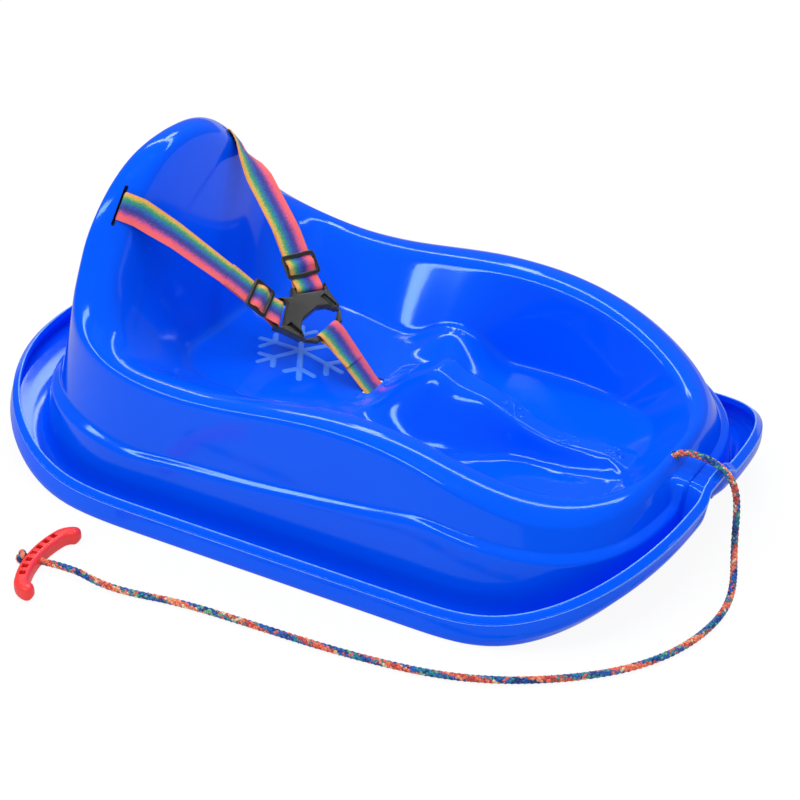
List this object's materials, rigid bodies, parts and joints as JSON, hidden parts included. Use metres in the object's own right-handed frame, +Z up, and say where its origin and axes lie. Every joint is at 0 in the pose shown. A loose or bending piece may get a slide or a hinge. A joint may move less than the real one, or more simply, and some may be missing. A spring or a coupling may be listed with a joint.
{
  "type": "childrens plastic sled",
  "caption": "Toddler tub sled with a high backrest, a buckled webbing harness, a front pull rope and a hooked grip handle.",
  "frame": {"origin": "centre of the sled's bounding box in plan, on the snow, measured without the rope and its handle", "axes": "+X towards the nose, +Y to the rider's left, +Z up"},
  "size_m": [0.8393, 0.6642, 0.314],
  "materials": {
    "tub": "gloss",
    "webbing": "woven rainbow stripes",
    "buckle": "satin",
    "rod": "satin",
    "rope": "braided, many colours",
    "handle": "satin"
  },
  "bodies": {
    "sled": {"sled_tub": "tub", "shoulder_strap_left": "webbing", "shoulder_strap_right": "webbing", "slider_left": "buckle", "slider_right": "buckle", "buckle_body": "buckle", "strap_rod_left": "rod", "strap_rod_right": "rod", "pull_rope": "rope", "rope_knot_front": "rope", "rope_knot_handle": "rope"},
    "plug": {"buckle_plug": "buckle", "crotch_strap": "webbing", "strap_rod_crotch": "rod"},
    "arm_left": {"release_arm_left": "buckle"},
    "arm_right": {"release_arm_right": "buckle"},
    "handle": {"pull_handle": "handle"}
  },
  "joints": [
    {"name": "plug_release", "type": "slide", "parent": "sled", "child": "plug", "axis": [0.8811, -0.0191, -0.4726], "range_m": [0, 0.008]},
    {"name": "arm_left_squeeze", "type": "hinge", "parent": "plug", "child": "arm_left", "pos_m": [-0.05375, 0.02816, 0.1357], "axis": [0.4604, -0.1951, 0.866], "range_deg": [0, 6], "stiffness_Nm_per_rad": 0.5},
    {"name": "arm_right_squeeze", "type": "hinge", "parent": "plug", "child": "arm_right", "pos_m": [-0.06017, -0.02969, 0.12608], "axis": [0.4604, -0.1951, 0.866], "range_deg": [-6, 0], "stiffness_Nm_per_rad": 0.5},
    {"name": "handle_slide", "type": "slide", "parent": "sled", "child": "handle", "axis": [0.9816, 0.1908, 0], "range_m": [0, 0.025]}
  ],
  "couplings": [
    {"joint": "arm_right_squeeze", "follows": "arm_left_squeeze", "ratio": -1}
  ]
}
